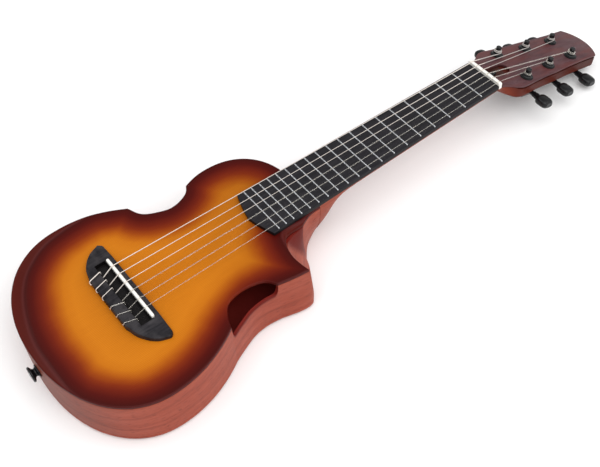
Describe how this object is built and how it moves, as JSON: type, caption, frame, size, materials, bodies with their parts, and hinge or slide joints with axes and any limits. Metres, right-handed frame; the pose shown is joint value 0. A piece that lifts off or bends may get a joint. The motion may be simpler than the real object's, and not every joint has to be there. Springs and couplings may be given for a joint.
{
  "type": "guitalele",
  "caption": "Small six-string nylon guitar with a sunburst top, a side sound port, a cutaway, a tie bridge and a tilted head with turning tuners.",
  "frame": {"origin": "The point of the back's flat face that lies under the saddle, on the centreline", "axes": "+X runs from the tail to the head, +Y to the bass side, +Z from the back up through the soundboard; the instrument lies on its back"},
  "size_m": [0.7065, 0.223, 0.0716],
  "materials": {
    "sunburst_top": "gloss sunburst",
    "stained_mahogany": "satin stain",
    "bare_wood": "bare",
    "head_face": "satin stain",
    "dark_board": "oiled",
    "bone": "polished bone",
    "fret_metal": "polished",
    "black_metal": "satin black",
    "black_plastic": "black",
    "steel": "plain",
    "wound_string": "silvery winding",
    "nylon_string": "clear nylon"
  },
  "bodies": {
    "instrument": {"back": "stained_mahogany", "back_brace": "bare_wood", "bridge": "dark_board", "bridge_plate": "bare_wood", "fret_01": "fret_metal", "fret_02": "fret_metal", "fret_03": "fret_metal", "fret_04": "fret_metal", "fret_05": "fret_metal", "fret_06": "fret_metal", "fret_07": "fret_metal", "fret_08": "fret_metal", "fret_09": "fret_metal", "fret_10": "fret_metal", "fret_11": "fret_metal", "fret_12": "fret_metal", "fret_13": "fret_metal", "fret_14": "fret_metal", "fret_15": "fret_metal", "fret_16": "fret_metal", "fret_17": "fret_metal", "fret_18": "fret_metal", "fret_19": "fret_metal", "fretboard": "dark_board", "head_plate": "head_face", "neck": "stained_mahogany", "neck_block": "bare_wood", "nut": "bone", "rim": "stained_mahogany", "saddle": "bone", "soundboard": "sunburst_top", "strap_button": "black_plastic", "strap_screw": "steel", "string_1": "nylon_string", "string_2": "nylon_string", "string_3": "nylon_string", "string_4": "wound_string", "string_5": "wound_string", "string_6": "wound_string", "tail_block": "bare_wood", "top_brace": "bare_wood", "truss_rod": "steel", "tuner_housing_bass_1": "black_metal", "tuner_housing_bass_2": "black_metal", "tuner_housing_bass_3": "black_metal", "tuner_housing_treble_1": "black_metal", "tuner_housing_treble_2": "black_metal", "tuner_housing_treble_3": "black_metal"},
    "button_bass_1": {"tuner_button_bass_1": "black_plastic"},
    "post_bass_1": {"tuner_post_bass_1": "black_metal"},
    "button_bass_2": {"tuner_button_bass_2": "black_plastic"},
    "post_bass_2": {"tuner_post_bass_2": "black_metal"},
    "button_bass_3": {"tuner_button_bass_3": "black_plastic"},
    "post_bass_3": {"tuner_post_bass_3": "black_metal"},
    "button_treble_1": {"tuner_button_treble_1": "black_plastic"},
    "post_treble_1": {"tuner_post_treble_1": "black_metal"},
    "button_treble_2": {"tuner_button_treble_2": "black_plastic"},
    "post_treble_2": {"tuner_post_treble_2": "black_metal"},
    "button_treble_3": {"tuner_button_treble_3": "black_plastic"},
    "post_treble_3": {"tuner_post_treble_3": "black_metal"}
  },
  "joints": [
    {"name": "button_turn_bass_1", "type": "hinge", "parent": "instrument", "child": "button_bass_1", "pos_m": [0.48028, 0.0226, 0.03067], "axis": [0, 1, 0], "continuous": true},
    {"name": "post_turn_bass_1", "type": "hinge", "parent": "instrument", "child": "post_bass_1", "pos_m": [0.47553, 0.0226, 0.05198], "axis": [0.2639, 0, 0.9646], "continuous": true},
    {"name": "button_turn_bass_2", "type": "hinge", "parent": "instrument", "child": "button_bass_2", "pos_m": [0.51944, 0.0179, 0.01996], "axis": [0, 1, 0], "continuous": true},
    {"name": "post_turn_bass_2", "type": "hinge", "parent": "instrument", "child": "post_bass_2", "pos_m": [0.51469, 0.0179, 0.04127], "axis": [0.2639, 0, 0.9646], "continuous": true},
    {"name": "button_turn_bass_3", "type": "hinge", "parent": "instrument", "child": "button_bass_3", "pos_m": [0.55802, 0.0153, 0.00941], "axis": [0, 1, 0], "continuous": true},
    {"name": "post_turn_bass_3", "type": "hinge", "parent": "instrument", "child": "post_bass_3", "pos_m": [0.55327, 0.0153, 0.03071], "axis": [0.2639, 0, 0.9646], "continuous": true},
    {"name": "button_turn_treble_1", "type": "hinge", "parent": "instrument", "child": "button_treble_1", "pos_m": [0.48028, -0.0226, 0.03067], "axis": [0, -1, 0], "continuous": true},
    {"name": "post_turn_treble_1", "type": "hinge", "parent": "instrument", "child": "post_treble_1", "pos_m": [0.47553, -0.0226, 0.05198], "axis": [0.2639, 0, 0.9646], "continuous": true},
    {"name": "button_turn_treble_2", "type": "hinge", "parent": "instrument", "child": "button_treble_2", "pos_m": [0.51944, -0.0179, 0.01996], "axis": [0, -1, 0], "continuous": true},
    {"name": "post_turn_treble_2", "type": "hinge", "parent": "instrument", "child": "post_treble_2", "pos_m": [0.51469, -0.0179, 0.04127], "axis": [0.2639, 0, 0.9646], "continuous": true},
    {"name": "button_turn_treble_3", "type": "hinge", "parent": "instrument", "child": "button_treble_3", "pos_m": [0.55802, -0.0153, 0.00941], "axis": [0, -1, 0], "continuous": true},
    {"name": "post_turn_treble_3", "type": "hinge", "parent": "instrument", "child": "post_treble_3", "pos_m": [0.55327, -0.0153, 0.03071], "axis": [0.2639, 0, 0.9646], "continuous": true}
  ],
  "couplings": [
    {"joint": "post_turn_bass_1", "follows": "button_turn_bass_1", "ratio": 0.0625},
    {"joint": "post_turn_bass_2", "follows": "button_turn_bass_2", "ratio": 0.0625},
    {"joint": "post_turn_bass_3", "follows": "button_turn_bass_3", "ratio": 0.0625},
    {"joint": "post_turn_treble_1", "follows": "button_turn_treble_1", "ratio": -0.0625},
    {"joint": "post_turn_treble_2", "follows": "button_turn_treble_2", "ratio": -0.0625},
    {"joint": "post_turn_treble_3", "follows": "button_turn_treble_3", "ratio": -0.0625}
  ]
}
